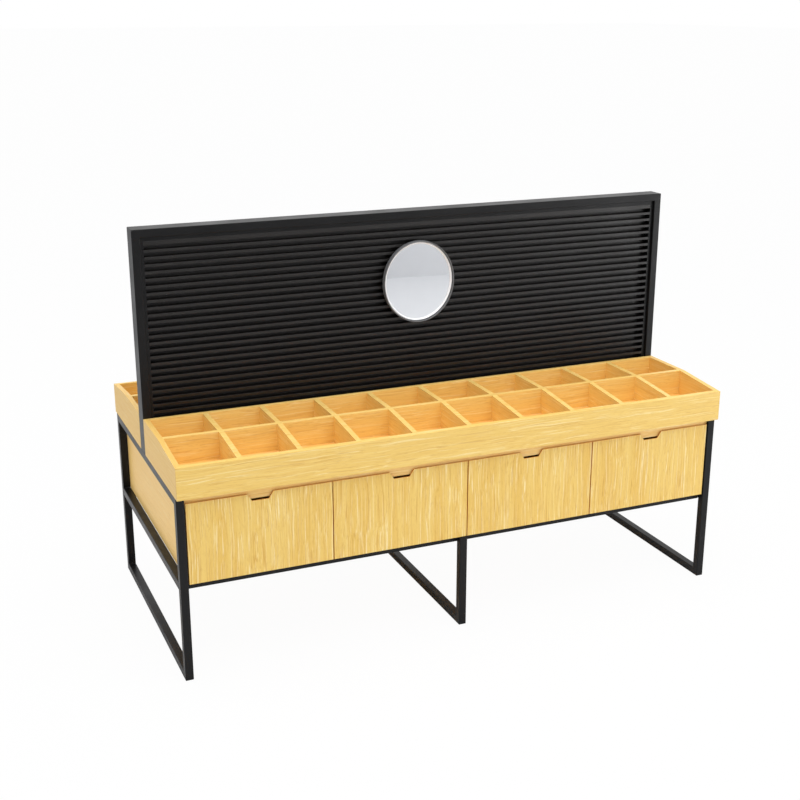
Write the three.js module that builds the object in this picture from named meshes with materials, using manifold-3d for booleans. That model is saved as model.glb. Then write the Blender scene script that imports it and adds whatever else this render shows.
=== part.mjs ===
// Double-sided shop display table. A steel leg frame carries a boarded carcass with a row of drawers
// on both long sides, a compartment tray above each row, and a folded steel slat panel between the trays.
// Millimetres. X runs along the table, Y from the front side to the rear side, Z up from the floor.
import * as THREE from 'three';
import { mergeVertices } from 'three/addons/utils/BufferGeometryUtils.js';
import Module from 'manifold-3d';

// Driving dimensions of the steel frame
const LENGTH = 2000;
const FRAME_DEPTH = 918;
const TUBE = 27;
const FRAME_TOP = 630;
const MID_RAIL_TOP = 339;
const LONG_RAIL_BOTTOM = 308.5;
const CENTRE_LEG_TOP = 331;
const CENTRE_LEG_X = [-27, 0];

// Driving dimensions of the boards and the trays
const BOARD = 18;
const TRAY_OVERHANG = 20;
const TRAY_TOP = 757;
const TRAY_FRONT_TOP = 737;
const LONG_DIVIDER_Y = [-253, -235];
const TRAY_COLUMNS = 10;
const FASCIA_BOTTOM = 589;
const FASCIA_GAP = 3;
const END_PANEL_HALF_DEPTH = 432.5;

// Driving dimensions of the drawers
const DRAWERS_PER_SIDE = 4;
const FRONT_SET_BACK = 4;
const FRONT_BOTTOM = 333.5;
const FRONT_TOP = 608;
const FRONT_GAP = 3;
const FRONT_END_GAP = 3.5;
const FRONT_LIP = 4;
const FRONT_LIP_BOTTOM = 574;
const NOTCH_TOP_WIDTH = 86;
const NOTCH_BOTTOM_WIDTH = 56;
const NOTCH_BOTTOM = 584.5;
const BOX_DEPTH = 400;
const BOX_WALL = 15;
const BOX_FLOOR = 9;
const BOX_Z = [361, 560];
const BOX_SIDE_GAP = 6;
const RUNNER_WIDTH = 12;
const RUNNER_Z = [450, 466];
const RUNNER_HALF_LENGTH = 419;
const GROOVE_CLEARANCE = 0.5;

// Driving dimensions of the slat panel and the mirror that hangs on it
const PANEL_DEPTH = 68;
const PANEL_TOP = 1391;
const SURROUND_WIDTH = 12;
const SURROUND_TOP_WIDTH = 14;
const SLAT_SET_BACK = 10.5;
const SLAT_DEPTH = 29;
const SHEET = 2;
const FIRST_LAND = 13.8;
const LAND = 9;
const GROOVE = 14.7;
const LAND_COUNT = 27;
const MIRROR_CENTRE_Z = 1140;
const MIRROR_HALF_WIDTH = 134;
const MIRROR_HALF_HEIGHT = 145;
const RIM_DEPTH = 20;
const RIM_WALL = 2.5;
const RIM_BACK = 3;
const GLASS = 3;
const GLASS_BEVEL = 7;
const GLASS_EDGE = 1.25;
const HANGER_WIDTH = 60;
const HANGER_PLATE = 2.75;
const HANGER_DROP = 80;
const HANGER_REACH = 14;
const HANGER_LAND = 5;
const FIT_GAP = 0.3;
const MITRE_GAP = 0.2;

// Places that follow from the driving dimensions
const HALF_LENGTH = LENGTH / 2;
const LEG_INNER_X = HALF_LENGTH - TUBE;
const LEG_FACE_Y = -FRAME_DEPTH / 2;
const LEG_BACK_Y = LEG_FACE_Y + TUBE;
const MID_RAIL_BOTTOM = MID_RAIL_TOP - TUBE;
const TRAY_FACE_Y = LEG_FACE_Y - TRAY_OVERHANG;
const TRAY_INNER_Y = TRAY_FACE_Y + BOARD;
const PANEL_FACE_Y = -PANEL_DEPTH / 2;
const TRAY_INNER_X = HALF_LENGTH - BOARD;
const TRAY_FLOOR_BOTTOM = FRAME_TOP + BOARD;
const TRAY_FLOOR_TOP = TRAY_FLOOR_BOTTOM + BOARD;
const END_PANEL_X = LEG_INNER_X - BOARD;
const DECK_TOP = MID_RAIL_TOP + BOARD;
const BAY_PITCH = LEG_INNER_X * 2 / DRAWERS_PER_SIDE;
const FRONT_FACE_Y = LEG_FACE_Y + FRONT_SET_BACK;
const FRONT_BACK_Y = FRONT_FACE_Y + BOARD;

const wasm = await Module();
wasm.setup();

// Finishes, one new material for each piece
const finishes = {
  steel: { color: '#38383a', roughness: 0.42, metalness: 0.25 },
  oak: { color: '#e8c47c', roughness: 0.55, metalness: 0 },
  carcass: { color: '#e0b06a', roughness: 0.6, metalness: 0 },
  beech: { color: '#d9b083', roughness: 0.5, metalness: 0 },
  silver: { color: '#dfe2e4', roughness: 0.04, metalness: 1 },
};

function piece(name, geometry, finish) {
  const mesh = new THREE.Mesh(geometry, new THREE.MeshStandardMaterial(finishes[finish]));
  mesh.name = name;
  return mesh;
}

// A rectangular board, tube or bar between two limits on each axis
function blockGeometry([x0, x1], [y0, y1], [z0, z1]) {
  const geometry = new THREE.BoxGeometry(x1 - x0, y1 - y0, z1 - z0);
  geometry.translate((x0 + x1) / 2, (y0 + y1) / 2, (z0 + z1) / 2);
  return geometry;
}

function block(name, x, y, z, finish) {
  return piece(name, blockGeometry(x, y, z), finish);
}

function outline(points) {
  return points.map(([u, v]) => new THREE.Vector2(u, v));
}

function extruded(points, holes, depth) {
  const shape = new THREE.Shape(outline(points));
  shape.holes = holes.map((hole) => new THREE.Path(outline(hole)));
  return new THREE.ExtrudeGeometry(shape, { depth, bevelEnabled: false });
}

// A section drawn as [y, z] and carried along X between two limits
function alongX(points, [x0, x1], holes = []) {
  const geometry = extruded(points, holes, x1 - x0);
  const turn = new THREE.Matrix4().makeBasis(
    new THREE.Vector3(0, 1, 0), new THREE.Vector3(0, 0, 1), new THREE.Vector3(1, 0, 0));
  return geometry.applyMatrix4(turn).translate(x0, 0, 0);
}

// A section drawn as [x, z] and carried along Y between two limits
function alongY(points, [y0, y1], holes = []) {
  const geometry = extruded(points, holes, y1 - y0);
  const turn = new THREE.Matrix4().makeBasis(
    new THREE.Vector3(1, 0, 0), new THREE.Vector3(0, 0, 1), new THREE.Vector3(0, -1, 0));
  return geometry.applyMatrix4(turn).translate(0, y1, 0);
}

function rectangle([u0, u1], [v0, v1]) {
  return [[u0, v0], [u1, v0], [u1, v1], [u0, v1]];
}

function toSolid(geometry) {
  const bare = geometry.clone();
  bare.deleteAttribute('normal');
  bare.deleteAttribute('uv');
  const merged = mergeVertices(bare);
  const vertProperties = new Float32Array(merged.attributes.position.array);
  const triVerts = new Uint32Array(merged.index.array);
  return new wasm.Manifold(new wasm.Mesh({ numProp: 3, vertProperties, triVerts }));
}

function toGeometry(solid) {
  const { vertProperties, triVerts } = solid.getMesh();
  const geometry = new THREE.BufferGeometry();
  geometry.setAttribute('position', new THREE.BufferAttribute(vertProperties, 3));
  geometry.setIndex(new THREE.BufferAttribute(triVerts, 1));
  geometry.computeVertexNormals();
  return geometry;
}

function joined(geometries) {
  return toGeometry(geometries.map(toSolid).reduce((whole, next) => whole.add(next)));
}

function cut(geometry, cutters) {
  const blank = toSolid(geometry);
  return toGeometry(cutters.map(toSolid).reduce((whole, cutter) => whole.subtract(cutter), blank));
}

// Keeps the part of a board that lies inside an outline drawn as [x, y]
function trimmed(geometry, plan) {
  const column = extruded(plan, [], PANEL_TOP);
  return toGeometry(toSolid(geometry).intersect(toSolid(column)));
}

// Welded square-tube frames at both ends: two legs, a foot rail, a middle rail and a top rail
function endFrame(name, x) {
  const inside = [LEG_BACK_Y, -LEG_BACK_Y];
  const lowerLoop = rectangle(inside, [TUBE, MID_RAIL_BOTTOM]);
  const upperLoop = rectangle(inside, [MID_RAIL_TOP, FRAME_TOP - TUBE]);
  const outer = rectangle([LEG_FACE_Y, -LEG_FACE_Y], [0, FRAME_TOP]);
  return piece(name, alongX(outer, x, [lowerLoop, upperLoop]), 'steel');
}

// Open U under the middle of the table: its two legs are welded to the faces of the long bottom rails
function centreLegFrame() {
  const section = [
    [LEG_FACE_Y, 0], [-LEG_FACE_Y, 0], [-LEG_FACE_Y, CENTRE_LEG_TOP], [-LEG_BACK_Y, CENTRE_LEG_TOP],
    [-LEG_BACK_Y, TUBE], [LEG_BACK_Y, TUBE], [LEG_BACK_Y, CENTRE_LEG_TOP], [LEG_FACE_Y, CENTRE_LEG_TOP],
  ];
  return piece('centre_leg_frame', alongX(section, CENTRE_LEG_X), 'steel');
}

// Carcass boards: drawer deck, end panels, partitions between the bays, and the top board on them
function topBoard() {
  const notch = PANEL_FACE_Y;
  const x = TRAY_INNER_X;
  const y = -TRAY_INNER_Y;
  const plan = [
    [-x, -y], [x, -y], [x, notch], [LEG_INNER_X, notch], [LEG_INNER_X, -notch], [x, -notch],
    [x, y], [-x, y], [-x, -notch], [-LEG_INNER_X, -notch], [-LEG_INNER_X, notch], [-x, notch],
  ];
  return piece('top_board', extruded(plan, [], BOARD).translate(0, 0, FRAME_TOP), 'carcass');
}

function carcass() {
  const group = new THREE.Group();
  const depth = [-END_PANEL_HALF_DEPTH, END_PANEL_HALF_DEPTH];
  const rise = [MID_RAIL_TOP, FRAME_TOP];
  group.add(block('base_board', [-END_PANEL_X, END_PANEL_X], [LEG_BACK_Y, -LEG_BACK_Y],
    [MID_RAIL_TOP, DECK_TOP], 'carcass'));
  group.add(block('left_end_panel', [-LEG_INNER_X, -END_PANEL_X], depth, rise, 'oak'));
  group.add(block('right_end_panel', [END_PANEL_X, LEG_INNER_X], depth, rise, 'oak'));
  ['left', 'centre', 'right'].forEach((place, index) => {
    const middle = (index - 1) * BAY_PITCH;
    const x = [middle - BOARD / 2, middle + BOARD / 2];
    group.add(block(`${place}_partition`, x, depth, [DECK_TOP, FRAME_TOP], 'carcass'));
  });
  group.add(topBoard());
  return group;
}

// The clear width of a bay between its two side boards, counted from the -X end
function bayWalls(bay) {
  const left = bay === 0 ? -END_PANEL_X : (bay - DRAWERS_PER_SIDE / 2) * BAY_PITCH + BOARD / 2;
  const last = DRAWERS_PER_SIDE - 1;
  const right = bay === last ? END_PANEL_X : (bay + 1 - DRAWERS_PER_SIDE / 2) * BAY_PITCH - BOARD / 2;
  return [left, right];
}

// Beech strips on both side boards of a bay, which the grooved drawer sides of both rows run on
function runners() {
  const group = new THREE.Group();
  for (let bay = 0; bay < DRAWERS_PER_SIDE; bay += 1) {
    const [left, right] = bayWalls(bay);
    const length = [-RUNNER_HALF_LENGTH, RUNNER_HALF_LENGTH];
    group.add(block(`bay_${bay + 1}_left_runner`, [left, left + RUNNER_WIDTH], length, RUNNER_Z, 'beech'));
    group.add(block(`bay_${bay + 1}_right_runner`, [right - RUNNER_WIDTH, right], length, RUNNER_Z, 'beech'));
  }
  return group;
}

// Drawer front: its upper edge is rebated to a lip that covers the fascia, with a finger notch in the lip
function drawerFront(name, bay) {
  const width = (LEG_INNER_X * 2 - FRONT_END_GAP * 2 - FRONT_GAP * (DRAWERS_PER_SIDE - 1)) / DRAWERS_PER_SIDE;
  const left = -LEG_INNER_X + FRONT_END_GAP + bay * (width + FRONT_GAP);
  const middle = left + width / 2;
  const lipBack = FRONT_FACE_Y + FRONT_LIP;
  const section = [
    [FRONT_FACE_Y, FRONT_BOTTOM], [FRONT_BACK_Y, FRONT_BOTTOM], [FRONT_BACK_Y, FRONT_LIP_BOTTOM],
    [lipBack, FRONT_LIP_BOTTOM], [lipBack, FRONT_TOP], [FRONT_FACE_Y, FRONT_TOP],
  ];
  const slope = (NOTCH_TOP_WIDTH - NOTCH_BOTTOM_WIDTH) / (FRONT_TOP - NOTCH_BOTTOM) / 2;
  const cutTop = FRONT_TOP + BOARD;
  const cutHalf = NOTCH_BOTTOM_WIDTH / 2 + slope * (cutTop - NOTCH_BOTTOM);
  const notch = [
    [middle - NOTCH_BOTTOM_WIDTH / 2, NOTCH_BOTTOM], [middle + NOTCH_BOTTOM_WIDTH / 2, NOTCH_BOTTOM],
    [middle + cutHalf, cutTop], [middle - cutHalf, cutTop],
  ];
  const blank = alongX(section, [left, left + width]);
  return piece(name, cut(blank, [alongY(notch, [FRONT_FACE_Y - BOARD, FRONT_BACK_Y + BOARD])]), 'oak');
}

// Drawer box behind the front: four walls and a floor, with a running groove along both sides
function drawerBox(name, bay) {
  const [wallLeft, wallRight] = bayWalls(bay);
  const x = [wallLeft + BOX_SIDE_GAP, wallRight - BOX_SIDE_GAP];
  const y = [FRONT_BACK_Y, FRONT_BACK_Y + BOX_DEPTH];
  const hollow = blockGeometry([x[0] + BOX_WALL, x[1] - BOX_WALL], [y[0] + BOX_WALL, y[1] - BOX_WALL],
    [BOX_Z[0] + BOX_FLOOR, BOX_Z[1] + BOX_WALL]);
  const grooveDepth = RUNNER_WIDTH - BOX_SIDE_GAP + GROOVE_CLEARANCE * 2;
  const grooveZ = [RUNNER_Z[0] - GROOVE_CLEARANCE, RUNNER_Z[1] + GROOVE_CLEARANCE];
  const grooveY = [y[0] - BOX_WALL, y[1] + BOX_WALL];
  const grooves = [
    blockGeometry([x[0] - BOX_WALL, x[0] + grooveDepth], grooveY, grooveZ),
    blockGeometry([x[1] - grooveDepth, x[1] + BOX_WALL], grooveY, grooveZ),
  ];
  return piece(name, cut(blockGeometry(x, y, BOX_Z), [hollow, ...grooves]), 'carcass');
}

// Height of a tray's sloping top edge: level behind the long divider, falling to the front board
function trayTopAt(y) {
  const run = (y - TRAY_FACE_Y) / (LONG_DIVIDER_Y[0] - TRAY_FACE_Y);
  return TRAY_FRONT_TOP + (TRAY_TOP - TRAY_FRONT_TOP) * Math.min(run, 1);
}

function traySection(frontY, backY, bottom) {
  return [
    [frontY, bottom], [backY, bottom], [backY, TRAY_TOP], [LONG_DIVIDER_Y[0], TRAY_TOP],
    [frontY, trayTopAt(frontY)],
  ];
}

// Compartment tray: floor, mitred front board and ends, back board, and one crossed set of dividers
function trayFrontBoard(name) {
  const section = [
    [TRAY_FACE_Y, FRAME_TOP], [TRAY_INNER_Y, FRAME_TOP],
    [TRAY_INNER_Y, trayTopAt(TRAY_INNER_Y)], [TRAY_FACE_Y, TRAY_FRONT_TOP],
  ];
  const outerX = HALF_LENGTH - MITRE_GAP;
  const innerX = TRAY_INNER_X - MITRE_GAP;
  const plan = [
    [-outerX, TRAY_FACE_Y], [outerX, TRAY_FACE_Y], [innerX, TRAY_INNER_Y], [-innerX, TRAY_INNER_Y],
  ];
  return piece(name, trimmed(alongX(section, [-HALF_LENGTH, HALF_LENGTH]), plan), 'oak');
}

function trayEnd(name, outerX, innerX) {
  const section = traySection(TRAY_FACE_Y, PANEL_FACE_Y, FRAME_TOP);
  const plan = [
    [outerX, TRAY_FACE_Y + MITRE_GAP], [innerX, TRAY_INNER_Y + MITRE_GAP],
    [innerX, PANEL_FACE_Y], [outerX, PANEL_FACE_Y],
  ];
  const span = [Math.min(outerX, innerX), Math.max(outerX, innerX)];
  return piece(name, trimmed(alongX(section, span), plan), 'oak');
}

function trayDividers(name, inside, backY) {
  const cellPitch = (TRAY_INNER_X * 2 + BOARD) / TRAY_COLUMNS;
  const section = traySection(TRAY_INNER_Y, backY, TRAY_FLOOR_TOP);
  const boards = [blockGeometry(inside, LONG_DIVIDER_Y, [TRAY_FLOOR_TOP, TRAY_TOP])];
  for (let column = 1; column < TRAY_COLUMNS; column += 1) {
    const x = (column - TRAY_COLUMNS / 2) * cellPitch;
    boards.push(alongX(section, [x - BOARD / 2, x + BOARD / 2]));
  }
  return piece(name, joined(boards), 'oak');
}

function tray(side) {
  const group = new THREE.Group();
  const inside = [-TRAY_INNER_X, TRAY_INNER_X];
  const backBoardY = [PANEL_FACE_Y - BOARD, PANEL_FACE_Y];
  group.add(block(`${side}_tray_floor`, inside, [TRAY_INNER_Y, backBoardY[0]],
    [TRAY_FLOOR_BOTTOM, TRAY_FLOOR_TOP], 'carcass'));
  group.add(trayFrontBoard(`${side}_tray_front_board`));
  group.add(block(`${side}_tray_back_board`, inside, backBoardY, [TRAY_FLOOR_BOTTOM, TRAY_TOP], 'oak'));
  group.add(trayEnd(`${side}_tray_left_end`, -HALF_LENGTH, -TRAY_INNER_X));
  group.add(trayEnd(`${side}_tray_right_end`, HALF_LENGTH, TRAY_INNER_X));
  group.add(trayDividers(`${side}_tray_dividers`, inside, backBoardY[0]));
  return group;
}

// One long side of the table: bottom rail, fascia in two lengths, drawers and tray
function longSide(side) {
  const group = new THREE.Group();
  const fasciaFace = FRONT_FACE_Y + FRONT_LIP + FASCIA_GAP;
  const fasciaY = [fasciaFace, -END_PANEL_HALF_DEPTH];
  group.add(block(`${side}_bottom_rail`, [-LEG_INNER_X, LEG_INNER_X], [LEG_BACK_Y, LEG_BACK_Y + TUBE],
    [LONG_RAIL_BOTTOM, MID_RAIL_TOP], 'steel'));
  group.add(block(`${side}_left_fascia`, [-LEG_INNER_X, 0], fasciaY, [FASCIA_BOTTOM, FRAME_TOP], 'oak'));
  group.add(block(`${side}_right_fascia`, [0, LEG_INNER_X], fasciaY, [FASCIA_BOTTOM, FRAME_TOP], 'oak'));
  for (let bay = 0; bay < DRAWERS_PER_SIDE; bay += 1) {
    group.add(drawerFront(`${side}_drawer_${bay + 1}_front`, bay));
    group.add(drawerBox(`${side}_drawer_${bay + 1}_box`, bay));
  }
  group.add(tray(side));
  return group;
}

// Slat panel: a tube frame that stands on the end frames, a flat-bar surround and a sheet folded into slats
const surroundTop = PANEL_TOP - TUBE;
const sheetTop = surroundTop - SURROUND_TOP_WIDTH;
const slatPitch = LAND + GROOVE;
const panelRailTop = TRAY_FLOOR_BOTTOM + TUBE;
const sheetHalfWidth = LEG_INNER_X - SURROUND_WIDTH;
const landFaceY = PANEL_FACE_Y + SLAT_SET_BACK;

function landTop(index) {
  return sheetTop - FIRST_LAND - GROOVE - (index - 1) * slatPitch;
}

function landBottom(index) {
  return index === 0 ? sheetTop - FIRST_LAND : landTop(index) - LAND;
}

function panelFrame() {
  const posts = [-HALF_LENGTH, HALF_LENGTH];
  const between = [-LEG_INNER_X, LEG_INNER_X];
  const outer = [
    [posts[0], FRAME_TOP], [between[0], FRAME_TOP], [between[0], TRAY_FLOOR_BOTTOM],
    [between[1], TRAY_FLOOR_BOTTOM], [between[1], FRAME_TOP], [posts[1], FRAME_TOP],
    [posts[1], PANEL_TOP], [posts[0], PANEL_TOP],
  ];
  const field = rectangle(between, [panelRailTop, surroundTop]);
  return piece('panel_frame', alongY(outer, [PANEL_FACE_Y, -PANEL_FACE_Y], [field]), 'steel');
}

function slatSurround() {
  const outer = rectangle([-LEG_INNER_X, LEG_INNER_X], [panelRailTop, surroundTop]);
  const field = rectangle([-sheetHalfWidth, sheetHalfWidth], [landBottom(LAND_COUNT), sheetTop]);
  return piece('slat_surround', alongY(outer, [landFaceY, -landFaceY], [field]), 'steel');
}

function slatSheet() {
  const front = landFaceY;
  const rear = landFaceY + SLAT_DEPTH;
  const section = [[front, sheetTop], [front, landBottom(0)]];
  for (let index = 1; index <= LAND_COUNT; index += 1) {
    section.push([rear - SHEET, landBottom(index - 1)], [rear - SHEET, landTop(index)]);
    section.push([front, landTop(index)], [front, landBottom(index)]);
  }
  section.push([front + SHEET, landBottom(LAND_COUNT)]);
  for (let index = LAND_COUNT; index >= 1; index -= 1) {
    section.push([front + SHEET, landTop(index) - SHEET], [rear, landTop(index) - SHEET]);
    section.push([rear, landBottom(index - 1) + SHEET], [front + SHEET, landBottom(index - 1) + SHEET]);
  }
  section.push([front + SHEET, sheetTop]);
  return piece('slat_sheet', alongX(section, [-sheetHalfWidth, sheetHalfWidth]), 'steel');
}

// Oval mirror: a dished steel rim, a bevelled glass seated in it, and a hanger whose tongue sits on one land
const rimBackY = landFaceY - HANGER_PLATE - FIT_GAP;

function ellipse(halfWidth, halfHeight) {
  const path = new THREE.Shape().absellipse(0, 0, halfWidth, halfHeight, 0, Math.PI * 2);
  return path.getPoints(32).slice(0, -1).map((point) => [point.x, point.y + MIRROR_CENTRE_Z]);
}

function mirrorRim() {
  const outer = alongY(ellipse(MIRROR_HALF_WIDTH, MIRROR_HALF_HEIGHT), [rimBackY - RIM_DEPTH, rimBackY]);
  const seat = ellipse(MIRROR_HALF_WIDTH - RIM_WALL, MIRROR_HALF_HEIGHT - RIM_WALL);
  const pocket = alongY(seat, [rimBackY - RIM_DEPTH - RIM_WALL, rimBackY - RIM_BACK]);
  return piece('mirror_rim', cut(outer, [pocket]), 'steel');
}

function mirrorGlass() {
  const radius = MIRROR_HALF_HEIGHT - RIM_WALL - FIT_GAP * 2;
  const section = outline([
    [0, 0], [radius, 0], [radius, GLASS_EDGE], [radius - GLASS_BEVEL, GLASS], [0, GLASS],
  ]);
  const mesh = piece('mirror_glass', new THREE.LatheGeometry(section, 64), 'silver');
  mesh.scale.x = (MIRROR_HALF_WIDTH - RIM_WALL - FIT_GAP * 2) / radius;
  mesh.rotation.z = Math.PI;
  mesh.position.set(0, rimBackY - RIM_BACK - FIT_GAP, MIRROR_CENTRE_Z);
  return mesh;
}

function mirrorHanger() {
  const plateBack = landFaceY - FIT_GAP;
  const plateFront = plateBack - HANGER_PLATE + FIT_GAP;
  const tongueBottom = landTop(HANGER_LAND) + FIT_GAP;
  const top = tongueBottom + HANGER_PLATE;
  const section = [
    [plateFront, top - HANGER_DROP], [plateBack, top - HANGER_DROP], [plateBack, tongueBottom],
    [plateBack + HANGER_REACH, tongueBottom], [plateBack + HANGER_REACH, top], [plateFront, top],
  ];
  return piece('mirror_hanger', alongX(section, [-HANGER_WIDTH / 2, HANGER_WIDTH / 2]), 'steel');
}

const table = new THREE.Group();
table.add(endFrame('left_end_frame', [-HALF_LENGTH, -LEG_INNER_X]));
table.add(endFrame('right_end_frame', [LEG_INNER_X, HALF_LENGTH]));
table.add(centreLegFrame(), carcass(), runners(), longSide('front'));
const rear = longSide('rear');
rear.rotation.z = Math.PI;
table.add(rear, panelFrame(), slatSurround(), slatSheet());
table.add(mirrorRim(), mirrorGlass(), mirrorHanger());

export default table;
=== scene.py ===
import math

import bmesh
import bpy
from mathutils import Matrix, Vector


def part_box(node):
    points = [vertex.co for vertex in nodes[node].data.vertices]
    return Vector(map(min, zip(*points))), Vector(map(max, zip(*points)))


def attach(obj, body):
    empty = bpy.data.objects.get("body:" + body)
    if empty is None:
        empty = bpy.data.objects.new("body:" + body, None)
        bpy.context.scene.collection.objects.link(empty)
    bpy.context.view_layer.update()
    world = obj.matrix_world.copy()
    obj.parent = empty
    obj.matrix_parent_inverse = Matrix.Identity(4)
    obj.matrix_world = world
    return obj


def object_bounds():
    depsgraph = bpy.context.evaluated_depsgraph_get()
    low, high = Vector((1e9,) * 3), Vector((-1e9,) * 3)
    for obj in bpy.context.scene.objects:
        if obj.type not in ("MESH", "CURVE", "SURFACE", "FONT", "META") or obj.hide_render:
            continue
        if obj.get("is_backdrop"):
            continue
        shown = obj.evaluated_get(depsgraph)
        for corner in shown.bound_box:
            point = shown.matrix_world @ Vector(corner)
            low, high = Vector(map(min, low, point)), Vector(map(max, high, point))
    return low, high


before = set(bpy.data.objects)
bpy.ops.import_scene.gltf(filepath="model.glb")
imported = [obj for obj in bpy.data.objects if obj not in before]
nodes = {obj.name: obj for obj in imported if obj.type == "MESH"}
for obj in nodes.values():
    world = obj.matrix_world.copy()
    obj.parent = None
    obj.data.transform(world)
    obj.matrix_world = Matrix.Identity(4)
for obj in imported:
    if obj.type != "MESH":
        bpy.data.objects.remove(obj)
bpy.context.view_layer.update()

# Leg frames and bottom rails: welded steel tube, 27 mm wide, with small rolled corners.
# They are powder coated black in one satin coat after welding, so no joint shows a colour change.
TUBE_CORNER_MM = 2.0
TUBE_CORNER_SEGMENTS = 3
COAT_WEAR_MM = 1.2
PEEL_PER_METRE = 700.0
COAT_CLOUDS_PER_METRE = 9.0


def linear(code):
    channels = [int(code[i:i + 2], 16) / 255 for i in (1, 3, 5)]
    return tuple(c / 12.92 if c <= 0.04045 else ((c + 0.055) / 1.055) ** 2.4 for c in channels) + (1.0,)


def new_material(name):
    material = bpy.data.materials.new(name)
    material.use_nodes = True
    material.node_tree.nodes.clear()
    return material


def add(material, kind, values, **settings):
    tree = material.node_tree
    node = tree.nodes.new(kind)
    for key, value in settings.items():
        setattr(node, key, value)
    for socket, value in values.items():
        if isinstance(value, bpy.types.NodeSocket):
            tree.links.new(value, node.inputs[socket])
        else:
            node.inputs[socket].default_value = value
    return node


def object_place(material):
    return add(material, "ShaderNodeTexCoord", {}).outputs["Object"]


def noise(material, vector, scale, detail):
    values = {"Vector": vector, "Scale": scale, "Detail": detail}
    return add(material, "ShaderNodeTexNoise", values).outputs["Fac"]


def laid_over(material, under, amount, over):
    return add(material, "ShaderNodeMix", {0: amount, 6: under, 7: over}, data_type="RGBA").outputs[2]


def spread(material, value, low, high):
    return add(material, "ShaderNodeMapRange", {"Value": value, "To Min": low, "To Max": high}).outputs[0]


def product(material, first, second):
    return add(material, "ShaderNodeMath", {0: first, 1: second}, operation="MULTIPLY").outputs[0]


def finish_material(material, values):
    shader = add(material, "ShaderNodeBsdfPrincipled", values)
    add(material, "ShaderNodeOutputMaterial", {"Surface": shader.outputs["BSDF"]})
    return material


def rounded_edge_mask(material, radius_mm):
    """1 on outside corners within the radius, 0 on flats."""
    rounded = add(material, "ShaderNodeBevel", {"Radius": radius_mm / 1000}, samples=4)
    flat = add(material, "ShaderNodeNewGeometry", {})
    turn = add(material, "ShaderNodeVectorMath",
               {0: rounded.outputs["Normal"], 1: flat.outputs["Normal"]}, operation="DOT_PRODUCT")
    return add(material, "ShaderNodeMapRange",
               {"Value": turn.outputs["Value"], "From Min": 0.995, "From Max": 0.8}).outputs["Result"]


def powder_coat(name, deep, pale, gloss):
    """Satin powder coat: a fine orange peel that breaks up reflections, a little thinner on the corners."""
    material = new_material(name)
    place = object_place(material)
    peel = noise(material, place, PEEL_PER_METRE, 2.0)
    cloud = noise(material, place, COAT_CLOUDS_PER_METRE, 4.0)
    tone = laid_over(material, linear(deep), cloud, linear(pale))
    rubbed = product(material, rounded_edge_mask(material, COAT_WEAR_MM), cloud)
    tone = laid_over(material, tone, rubbed, linear("#3a3a3c"))
    satin = add(material, "ShaderNodeMapRange", {"Value": cloud, "From Min": 0.3, "From Max": 0.7,
                                                 "To Min": 0.32, "To Max": 0.42}).outputs[0]
    relief = add(material, "ShaderNodeBump", {"Height": peel, "Strength": 0.12, "Distance": 0.0002})
    return finish_material(material, {"Base Color": tone, "Roughness": satin, "IOR": 1.45,
                                      "Specular IOR Level": gloss, "Normal": relief.outputs["Normal"]})


# Black powder coat on the tube: nearly black, with soft grey reflections of the room
coat = powder_coat("black_powder_coat", "#0c0c0d", "#131314", 0.28)


def dress(name, material, edge_mm, segments=2):
    """Gives a CAD node its material and the small rounding of its real edges."""
    node = nodes[name]
    node.data.materials.clear()
    node.data.materials.append(material)
    weld = node.modifiers.new("weld", "WELD")
    weld.merge_threshold = 1e-5
    if edge_mm:
        bevel = node.modifiers.new("edge", "BEVEL")
        bevel.width = edge_mm / 1000
        bevel.segments = segments
        bevel.limit_method = "ANGLE"
        bevel.angle_limit = math.radians(30)
        bevel.harden_normals = True


steel_frames = ("left_end_frame", "right_end_frame", "centre_leg_frame")
for name in (*steel_frames, "front_bottom_rail", "rear_bottom_rail"):
    dress(name, coat, TUBE_CORNER_MM, TUBE_CORNER_SEGMENTS)

# Weld beads: fillets across the inside corners where rails meet legs, laid as a row of overlapping drops.
# They are part of the frames and go under the same coat.
TUBE = 0.027
WELD_RADIUS = 0.0028
WELD_STEP = 0.0026
WELD_FLATTENING = 0.8
WELD_SWELL = 0.12
WELD_SWELL_TURN = 2.4


def to_mesh(name, shape, smooth=False):
    """Turns a finished bmesh into a mesh and lets the bmesh go."""
    mesh = bpy.data.meshes.new(name)
    shape.to_mesh(mesh)
    shape.free()
    for face in mesh.polygons:
        face.use_smooth = smooth
    return mesh


def add_piece(name, mesh, material, body):
    """Links a new mesh with its finish and makes it ride on a body."""
    mesh.materials.append(material)
    piece = bpy.data.objects.new(name, mesh)
    bpy.context.scene.collection.objects.link(piece)
    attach(piece, body)


def weld_row(shape, start_x, y, z):
    count = int((TUBE - WELD_STEP) / WELD_STEP)
    for index in range(count):
        x = start_x + WELD_STEP * (index + 1)
        swell = 1.0 + WELD_SWELL * math.sin(index * WELD_SWELL_TURN)
        size = Matrix.Diagonal((WELD_FLATTENING, swell, swell, 1.0))
        bmesh.ops.create_icosphere(shape, subdivisions=2, radius=WELD_RADIUS,
                                   matrix=Matrix.Translation((x, y, z)) @ size)


mid_rail_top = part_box("front_bottom_rail")[1][2]
for name in steel_frames:
    low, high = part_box(name)
    corner_y = high[1] - TUBE
    heights = [TUBE]
    if name != "centre_leg_frame":
        heights += [mid_rail_top - TUBE, mid_rail_top, high[2] - TUBE]
    shape = bmesh.new()
    for y in (-corner_y, corner_y):
        for z in heights:
            weld_row(shape, low[0], y, z)
    mesh = to_mesh(f"{name}_welds", shape, smooth=True)
    add_piece(f"{name}_welds", mesh, coat, "table")

# Carcass: deck, end panels, partitions and top board of 18 mm oak-faced board, screwed to the frame.
# The end panels show on the outside, set back behind the tube by its full width.
BOARD_EDGE_MM = 0.8
GRAIN_SWAY = 0.018


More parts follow.
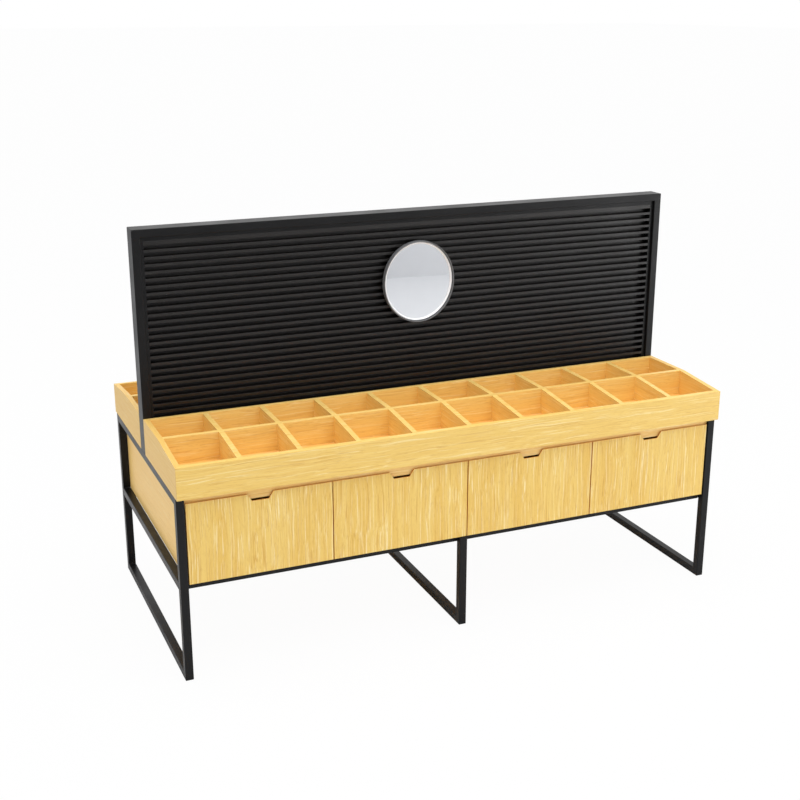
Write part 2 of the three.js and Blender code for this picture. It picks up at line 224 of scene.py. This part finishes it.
def oak(name, light, dark, grain, figure=1.0, lacquer=0.45, turned=False, edges_painted_shade=False):
    """Oak veneer with its grain along one axis: broad bands, cream lines, tan lines and short pores.

    On a turned board the faces that look along X take their grain along Y, as crossed dividers do.
    With painted shade on its edges, a board has its faces that look along X and along Z painted brown: a
    painted shade standing in for the dark gaps between the drawer fronts and the shadow line above their top
    edges.
    """
    material = new_material(name)
    along = "XYZ".index(grain)
    board = add(material, "ShaderNodeObjectInfo", {}).outputs["Random"]
    shift = add(material, "ShaderNodeVectorMath", {0: board, 1: (37.0, 53.0, 71.0)}, operation="MULTIPLY")
    own = add(material, "ShaderNodeVectorMath", {0: object_place(material), 1: shift.outputs[0]}).outputs[0]
    normal = add(material, "ShaderNodeNewGeometry", {}).outputs["Normal"]
    facing = add(material, "ShaderNodeSeparateXYZ", {0: normal}).outputs

    def looks_along(axis):
        size = add(material, "ShaderNodeMath", {0: facing[axis]}, operation="ABSOLUTE").outputs[0]
        return add(material, "ShaderNodeMath", {0: size, 1: 0.6}, operation="GREATER_THAN").outputs[0]

    if turned:
        parts = add(material, "ShaderNodeSeparateXYZ", {0: own}).outputs
        swapped = add(material, "ShaderNodeCombineXYZ", {0: parts["Y"], 1: parts["X"], 2: parts["Z"]})
        own = add(material, "ShaderNodeMix", {0: looks_along("X"), 4: own, 5: swapped.outputs[0]},
                  data_type="VECTOR").outputs[1]

    def stretched(vector, across_mm, along_mm):
        scale = [1000 / across_mm] * 3
        scale[along] = 1000 / along_mm
        return add(material, "ShaderNodeMapping", {"Vector": vector, "Scale": scale}).outputs[0]

    sway = add(material, "ShaderNodeTexNoise",
               {"Vector": stretched(own, 60, 190), "Scale": 1.0, "Detail": 1.0})
    offset = add(material, "ShaderNodeVectorMath", {0: sway.outputs["Color"], 1: (0.5, 0.5, 0.5)},
                 operation="SUBTRACT")
    wavy = add(material, "ShaderNodeVectorMath", {0: offset.outputs[0], 1: (GRAIN_SWAY,) * 3, 2: own},
               operation="MULTIPLY_ADD").outputs[0]

    def streaks(across_mm, along_mm, detail, low, high, strength):
        lines = add(material, "ShaderNodeTexNoise", {"Vector": stretched(wavy, across_mm, along_mm),
                                                     "Scale": 1.0, "Detail": detail, "Roughness": 0.55})
        return add(material, "ShaderNodeMapRange", {"Value": lines.outputs["Fac"], "From Min": low,
                                                    "From Max": high, "To Max": strength * figure}).outputs[0]

    tone = laid_over(material, linear(light), streaks(34, 900, 2.0, 0.35, 0.65, 0.9), linear(dark))
    tone = laid_over(material, tone, streaks(3.8, 420, 2.0, 0.54, 0.7, 0.72), linear("#ffefba"))
    fibres = streaks(3.0, 300, 3.0, 0.46, 0.29, 0.85)
    tone = laid_over(material, tone, fibres, linear("#d09a40"))
    tone = laid_over(material, tone, streaks(1.5, 22, 1.0, 0.58, 0.74, 0.35), linear("#b97f34"))
    # Painted highlight: the rounded edges of every board are painted a quarter of the way towards pale cream,
    # where they catch the light
    edge = product(material, rounded_edge_mask(material, BOARD_EDGE_MM), 0.25)
    tone = laid_over(material, tone, edge, linear("#f6dc9c"))
    # Painted shade: the edge faces that look along X and Z are painted brown, standing in for the shadowed
    # gaps and the shadow line over the drawers' top edges
    if edges_painted_shade:
        for axis in "XZ":
            tone = laid_over(material, tone, looks_along(axis), linear("#cf7a1c"))
    satin = spread(material, fibres, lacquer, lacquer + 0.15)
    relief = add(material, "ShaderNodeBump", {"Height": fibres, "Strength": 0.12, "Distance": -0.0003})
    return finish_material(material, {"Base Color": tone, "Roughness": satin, "IOR": 1.46,
                                      "Normal": relief.outputs["Normal"]})


# Pale oak: a light yellow board with straight fine grain; the carcass board is painted warmer and more orange
# than the others, a painted bounce light for the warm light between the boards of the tray cells
# Drawer fronts take the brown painted shade on their edges
oak_upright = oak("oak_board_upright", "#efcb70", "#e8be5e", "Z", 1.0, edges_painted_shade=True)
oak_long = oak("oak_board_long", "#f0cc73", "#e9c165", "X", 0.7)
oak_crossed = oak("oak_board_crossed", "#f4cf78", "#ecc168", "X", 0.65, turned=True)
oak_end = oak("oak_board_end", "#ecc26c", "#e7ba62", "Y", 0.35)
oak_panel = oak("oak_end_panel", "#fdd27e", "#f7c872", "Y", 0.35)
oak_inside = oak("oak_carcass_board", "#f5c26c", "#edb55c", "X", 0.65, 0.55)
oak_box = oak("oak_drawer_side", "#e6bd78", "#d6a75c", "Y", 0.7, 0.55)

for name in ("left_end_panel", "right_end_panel"):
    dress(name, oak_panel, BOARD_EDGE_MM)
for name in ("base_board", "top_board"):
    dress(name, oak_inside, BOARD_EDGE_MM)
for name in ("left_partition", "centre_partition", "right_partition"):
    dress(name, oak_box, BOARD_EDGE_MM)

# Fascia: an oak strip behind the top edges of the drawers, in two lengths that meet at the middle.
# It shows as a narrow line above the drawers and through their finger notches.
# Painted light: the fascia's oak is paler than the drawer fronts, lifting the shade it lies in under the
# tray's overhang
oak_fascia = oak("oak_board_fascia", "#f8d080", "#efc068", "X", 0.6)
for side in ("front", "rear"):
    for end in ("left", "right"):
        dress(f"{side}_{end}_fascia", oak_fascia, BOARD_EDGE_MM)

# Runners: planed beech strips, 12 by 16 mm, screwed along both side boards of each bay and waxed.
# The drawers of both rows slide on them.
beech = oak("beech_strip", "#dcb58a", "#cda173", "Y", 0.5, 0.4)
for bay in range(1, 5):
    for hand in ("left", "right"):
        dress(f"bay_{bay}_{hand}_runner", beech, BOARD_EDGE_MM)

# Furniture screws: zinc plated flat heads, 8 mm across, with a hexagon socket. Three hold each runner,
# and four hold each drawer front to its box, driven from the inside.
SCREW_HEAD_RADIUS = 0.004
SCREW_HEAD_HEIGHT = 0.0008
SCREW_TOP_SHARE = 0.92
SOCKET_RADIUS = 0.0021
SOCKET_DEPTH = 0.0006
SCREW_SIDES = 24
RUNNER_SCREW_SHARES = (0.06, 0.5, 0.94)


def clouded(name, deep, pale, clouds_per_metre, detail, smooth, rough, metallic):
    """A plain finish with a faint cloudy change of tone and shine."""
    material = new_material(name)
    cloud = noise(material, object_place(material), clouds_per_metre, detail)
    tone = laid_over(material, linear(deep), cloud, linear(pale))
    return finish_material(material, {"Base Color": tone, "Metallic": metallic,
                                      "Roughness": spread(material, cloud, smooth, rough)})


# Zinc plate: a pale grey metal with a soft cloudy sheen
zinc = clouded("zinc_plated_steel", "#a9adb0", "#c6c9ca", 900.0, 3.0, 0.25, 0.4, 1.0)


def screw_head(shape, point, outward):
    """A domed rim round a hexagon socket, with its foot on a face that looks outward."""
    turn = Vector(outward).to_track_quat("Z", "Y").to_matrix().to_4x4()
    seat = Matrix.Translation(point) @ turn
    rings = []
    for radius, height, hexagon in ((SCREW_HEAD_RADIUS, 0.0, False),
                                    (SCREW_HEAD_RADIUS * SCREW_TOP_SHARE, SCREW_HEAD_HEIGHT, False),
                                    (SOCKET_RADIUS, SCREW_HEAD_HEIGHT, True),
                                    (SOCKET_RADIUS, SCREW_HEAD_HEIGHT - SOCKET_DEPTH, True)):
        ring = []
        for index in range(SCREW_SIDES):
            angle = math.tau * index / SCREW_SIDES
            reach = radius
            if hexagon:
                reach /= math.cos((angle % (math.tau / 6)) - math.tau / 12)
            spot = Vector((reach * math.cos(angle), reach * math.sin(angle), height))
            ring.append(shape.verts.new(seat @ spot))
        rings.append(ring)
    for inner, outer in zip(rings[1:], rings):
        for index in range(SCREW_SIDES):
            after = (index + 1) % SCREW_SIDES
            shape.faces.new((outer[index], outer[after], inner[after], inner[index]))
    shape.faces.new(rings[-1])
    shape.faces.new(rings[0][::-1])


def screw_set(name, places, body):
    shape = bmesh.new()
    for point, outward in places:
        screw_head(shape, point, outward)
    add_piece(name, to_mesh(name, shape), zinc, body)


places = []
for bay in range(1, 5):
    for hand, outward in (("left", 1), ("right", -1)):
        low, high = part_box(f"bay_{bay}_{hand}_runner")
        face_x = high[0] if outward > 0 else low[0]
        middle_z = (low[2] + high[2]) / 2
        for share in RUNNER_SCREW_SHARES:
            y = low[1] + (high[1] - low[1]) * share
            places.append(((face_x, y, middle_z), (outward, 0, 0)))
screw_set("runner_screws", places, "table")

# Drawers: an oak-faced front with a rebated top edge and a finger notch, screwed on to a grooved box.
# All eight are the same but for the width of the box.
BOX_WALL = 0.015
SCREW_INSET = 0.06
FINE_EDGE_MM = 0.6
for side, inward in (("front", 1), ("rear", -1)):
    for number in range(1, 5):
        drawer = f"{side}_drawer_{number}"
        dress(f"{drawer}_front", oak_upright, FINE_EDGE_MM)
        dress(f"{drawer}_box", oak_box, FINE_EDGE_MM)
        low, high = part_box(f"{drawer}_box")
        inner_y = low[1] + BOX_WALL if inward > 0 else high[1] - BOX_WALL
        places = [((x, inner_y, z), (0, inward, 0))
                  for x in (low[0] + SCREW_INSET, high[0] - SCREW_INSET)
                  for z in (low[2] + SCREW_INSET, high[2] - SCREW_INSET)]
        screw_set(f"{drawer}_screws", places, drawer)

# Trays: 18 mm oak-faced boards, mitred at the outer corners, with a crossed set of dividers let into
# each other. The floor lies loose on the top board.
for side in ("front", "rear"):
    dress(f"{side}_tray_floor", oak_inside, FINE_EDGE_MM)
    dress(f"{side}_tray_front_board", oak_long, FINE_EDGE_MM)
    dress(f"{side}_tray_back_board", oak_crossed, FINE_EDGE_MM)
    dress(f"{side}_tray_dividers", oak_crossed, FINE_EDGE_MM)
    for end in ("left", "right"):
        dress(f"{side}_tray_{end}_end", oak_end, FINE_EDGE_MM)

# Slat panel: a frame of 27 by 68 mm tube, a flat-bar surround inside it and one steel sheet folded
# into lands and grooves, all powder coated black.
SHEET_EDGE_MM = 0.5
dress("panel_frame", coat, TUBE_CORNER_MM, TUBE_CORNER_SEGMENTS)
dress("slat_surround", coat, FINE_EDGE_MM)

# Coat on the folded sheet: the same powder with more shine, so the lands catch the light
# and the grooves stay dark
sheet_coat = powder_coat("charcoal_powder_coat", "#0d0a08", "#130f0c", 0.57)
dress("slat_sheet", sheet_coat, SHEET_EDGE_MM)

# Mirror: a dished steel rim with a bevelled silvered glass bedded in it, hung on a folded steel tongue.
# The rim is sprayed mid grey, lighter than the slats behind it.
HANGER_EDGE_MM = 0.4
NO_EDGE = 0
rim_paint = powder_coat("grey_enamel", "#67686a", "#707173", 0.5)
dress("mirror_rim", rim_paint, SHEET_EDGE_MM)
dress("mirror_hanger", coat, HANGER_EDGE_MM)

# Silvered glass: clean and a touch cool, with the faintest film of dust
silver = clouded("silvered_glass", "#eaebed", "#f1f2f4", 18.0, 5.0, 0.01, 0.03, 1.0)
dress("mirror_glass", silver, NO_EDGE)

# Bevel ring: a half-round white strip laid round the glass, over its bevel, as a painted highlight for the
# bright light that the bevel of the glass catches.
# It shows as a white ring between the glass and the rim.
BEAD_HALF_WIDTH = 0.0038
BEAD_HEIGHT = 0.0075
BEAD_BEDDING = 0.0005
BEAD_STATIONS = 96
BEAD_ARC = 8

# White ring finish: bright and slightly waxy, a painted highlight standing in for the glint on the glass
# bevel
bevel_highlight_white = clouded("white_bevel_highlight", "#f8f9fa", "#ffffff", 120.0, 3.0, 0.3, 0.4, 0.0)

low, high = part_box("mirror_glass")
middle = (Vector(low) + Vector(high)) / 2
half_width = (high[0] - low[0]) / 2
half_height = (high[2] - low[2]) / 2
shape = bmesh.new()
rings = []
for station in range(BEAD_STATIONS):
    turn = math.tau * station / BEAD_STATIONS
    edge = Vector((half_width * math.cos(turn), 0, half_height * math.sin(turn)))
    outward = Vector((math.cos(turn) / half_width, 0, math.sin(turn) / half_height)).normalized()
    ring = []
    for step in range(BEAD_ARC + 1):
        arc = math.pi * step / BEAD_ARC
        across = outward * (BEAD_HALF_WIDTH * (math.cos(arc) - 1))
        spot = middle + edge + across
        spot.y = low[1] + BEAD_BEDDING - BEAD_HEIGHT * math.sin(arc)
        ring.append(shape.verts.new(spot))
    rings.append(ring)
for ring, after in zip(rings, rings[1:] + rings[:1]):
    for step in range(BEAD_ARC + 1):
        following = (step + 1) % (BEAD_ARC + 1)
        shape.faces.new((ring[step], ring[following], after[following], after[step]))
bmesh.ops.recalc_face_normals(shape, faces=shape.faces)
# Painted highlight: this white ring stands in for the glint on the glass bevel
mesh = to_mesh("mirror_glazing_bead", shape, smooth=True)
add_piece("mirror_glazing_bead", mesh, bevel_highlight_white, "table")

# Studio: a pale floor, a light grey wall behind the camera that the mirror shows, and soft lamps.
# The floor is all but white to the camera and keeps a faint shadow under the table.
WHITE = (1, 1, 1, 1)
FLOOR_WHITE = 0.96
FLOOR_Z = -0.0003
FLOOR_HALF_WIDTH = 60
FLOOR_NEAR = -8
FLOOR_FAR = 90
WALL_POINT = (2.19, -4.942)
WALL_SLOPE = 0.106
WALL_HEIGHT = 1.7
WALL_HALF_WIDTH = 9
WALL_FADE = (-1.0, 4.5)
ROOM_LIGHT = 0.82


def stage_quad(name, corners):
    mesh = bpy.data.meshes.new(name)
    mesh.from_pydata(corners, [], [(0, 1, 2, 3)])
    quad = bpy.data.objects.new(name, mesh)
    bpy.context.scene.collection.objects.link(quad)
    quad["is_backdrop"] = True
    return quad


def wall_y(x):
    return WALL_POINT[1] + WALL_SLOPE * (x - WALL_POINT[0])


def white_to_camera(material, lit, share):
    """Shows a lit paint to every ray, but mostly plain white to the camera."""
    plain = add(material, "ShaderNodeEmission", {"Color": WHITE, "Strength": 1.0}).outputs[0]
    seen = add(material, "ShaderNodeLightPath", {}).outputs["Is Camera Ray"]
    amount = product(material, seen, share)
    mixed = add(material, "ShaderNodeMixShader", {0: amount, 1: lit, 2: plain}).outputs[0]
    add(material, "ShaderNodeOutputMaterial", {"Surface": mixed})


floor = stage_quad("studio_floor", [(-FLOOR_HALF_WIDTH, FLOOR_NEAR, FLOOR_Z),
                                    (FLOOR_HALF_WIDTH, FLOOR_NEAR, FLOOR_Z),
                                    (FLOOR_HALF_WIDTH, FLOOR_FAR, FLOOR_Z),
                                    (-FLOOR_HALF_WIDTH, FLOOR_FAR, FLOOR_Z)])
wall_ends = (-WALL_HALF_WIDTH, WALL_HALF_WIDTH)
wall = stage_quad("studio_wall", [(x, wall_y(x), WALL_HEIGHT) for x in wall_ends]
                  + [(x, wall_y(x), 0) for x in reversed(wall_ends)])

# Floor paint: matt and nearly white, with a faint unevenness
floor_paint = new_material("floor_paint")
cloud = noise(floor_paint, object_place(floor_paint), 3.0, 2.0)
lit = add(floor_paint, "ShaderNodeBsdfPrincipled", {"Base Color": linear("#e5e6e8"),
                                                    "Roughness": spread(floor_paint, cloud, 0.75, 0.85),
                                                    "Specular IOR Level": 0.2}).outputs[0]
white_to_camera(floor_paint, lit, FLOOR_WHITE)
floor.data.materials.append(floor_paint)

# Wall paint: grey at the left, paling to the right, as the mirror shows it
wall_paint = new_material("wall_paint")
across = add(wall_paint, "ShaderNodeSeparateXYZ", {0: object_place(wall_paint)}).outputs["X"]
fade = add(wall_paint, "ShaderNodeMapRange", {"Value": across, "From Min": WALL_FADE[0],
                                              "From Max": WALL_FADE[1]}).outputs[0]
tone = laid_over(wall_paint, linear("#b2b3b6"), fade, linear("#f2f3f5"))
lit = add(wall_paint, "ShaderNodeBsdfPrincipled", {"Base Color": tone, "Roughness": 0.9,
                                                   "Specular IOR Level": 0.1}).outputs[0]
white_to_camera(wall_paint, lit, 1.0)
wall.data.materials.append(wall_paint)

world = bpy.data.worlds.new("studio_light")
world.use_nodes = True
world.node_tree.nodes.clear()
rays = add(world, "ShaderNodeLightPath", {}).outputs
seen = add(world, "ShaderNodeMath", {0: rays["Is Camera Ray"], 1: rays["Is Glossy Ray"]},
           operation="MAXIMUM").outputs[0]
seen = add(world, "ShaderNodeMath", {0: seen, 1: rays["Is Transmission Ray"]}, operation="MAXIMUM").outputs[0]
white = add(world, "ShaderNodeBackground", {"Color": WHITE, "Strength": 1.0}).outputs[0]
around = add(world, "ShaderNodeBackground", {"Color": WHITE, "Strength": ROOM_LIGHT}).outputs[0]
sky = add(world, "ShaderNodeMixShader", {0: seen, 1: around, 2: white}).outputs[0]
add(world, "ShaderNodeOutputWorld", {"Surface": sky})
bpy.context.scene.world = world


def lamp(name, position, target, size, watts):
    data = bpy.data.lights.new(name, "AREA")
    data.shape = "SQUARE"
    data.size = size
    data.energy = watts
    light = bpy.data.objects.new(name, data)
    light.location = position
    light.rotation_euler = (Vector(target) - Vector(position)).to_track_quat("-Z", "Y").to_euler()
    bpy.context.scene.collection.objects.link(light)


lamp("overhead", position=(0.0, -1.0, 4.6), target=(0, 0, 0.7), size=4.5, watts=140)
lamp("front_right", position=(4.2, -3.7, 0.8), target=(0.6, 0, 0.8), size=1.6, watts=35)

# Camera: where the photograph was taken from, without roll or shift.
# Its place, turn and lens come from fitting the table's corners to the photograph.
CAMERA_POINT = (-1.7717, -4.0246, 2.0967)
CAMERA_TILT = 72.25
CAMERA_HEADING = -23.09
LENS_MM = 56.68
SENSOR_MM = 36.0
camera_data = bpy.data.cameras.new("photo_camera")
camera_data.sensor_width = SENSOR_MM
camera_data.lens = LENS_MM
camera = bpy.data.objects.new("photo_camera", camera_data)
camera.location = CAMERA_POINT
camera.rotation_euler = (math.radians(CAMERA_TILT), 0, math.radians(CAMERA_HEADING))
bpy.context.scene.collection.objects.link(camera)
bpy.context.scene.camera = camera
bpy.context.scene.view_settings.view_transform = "Standard"

low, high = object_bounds()
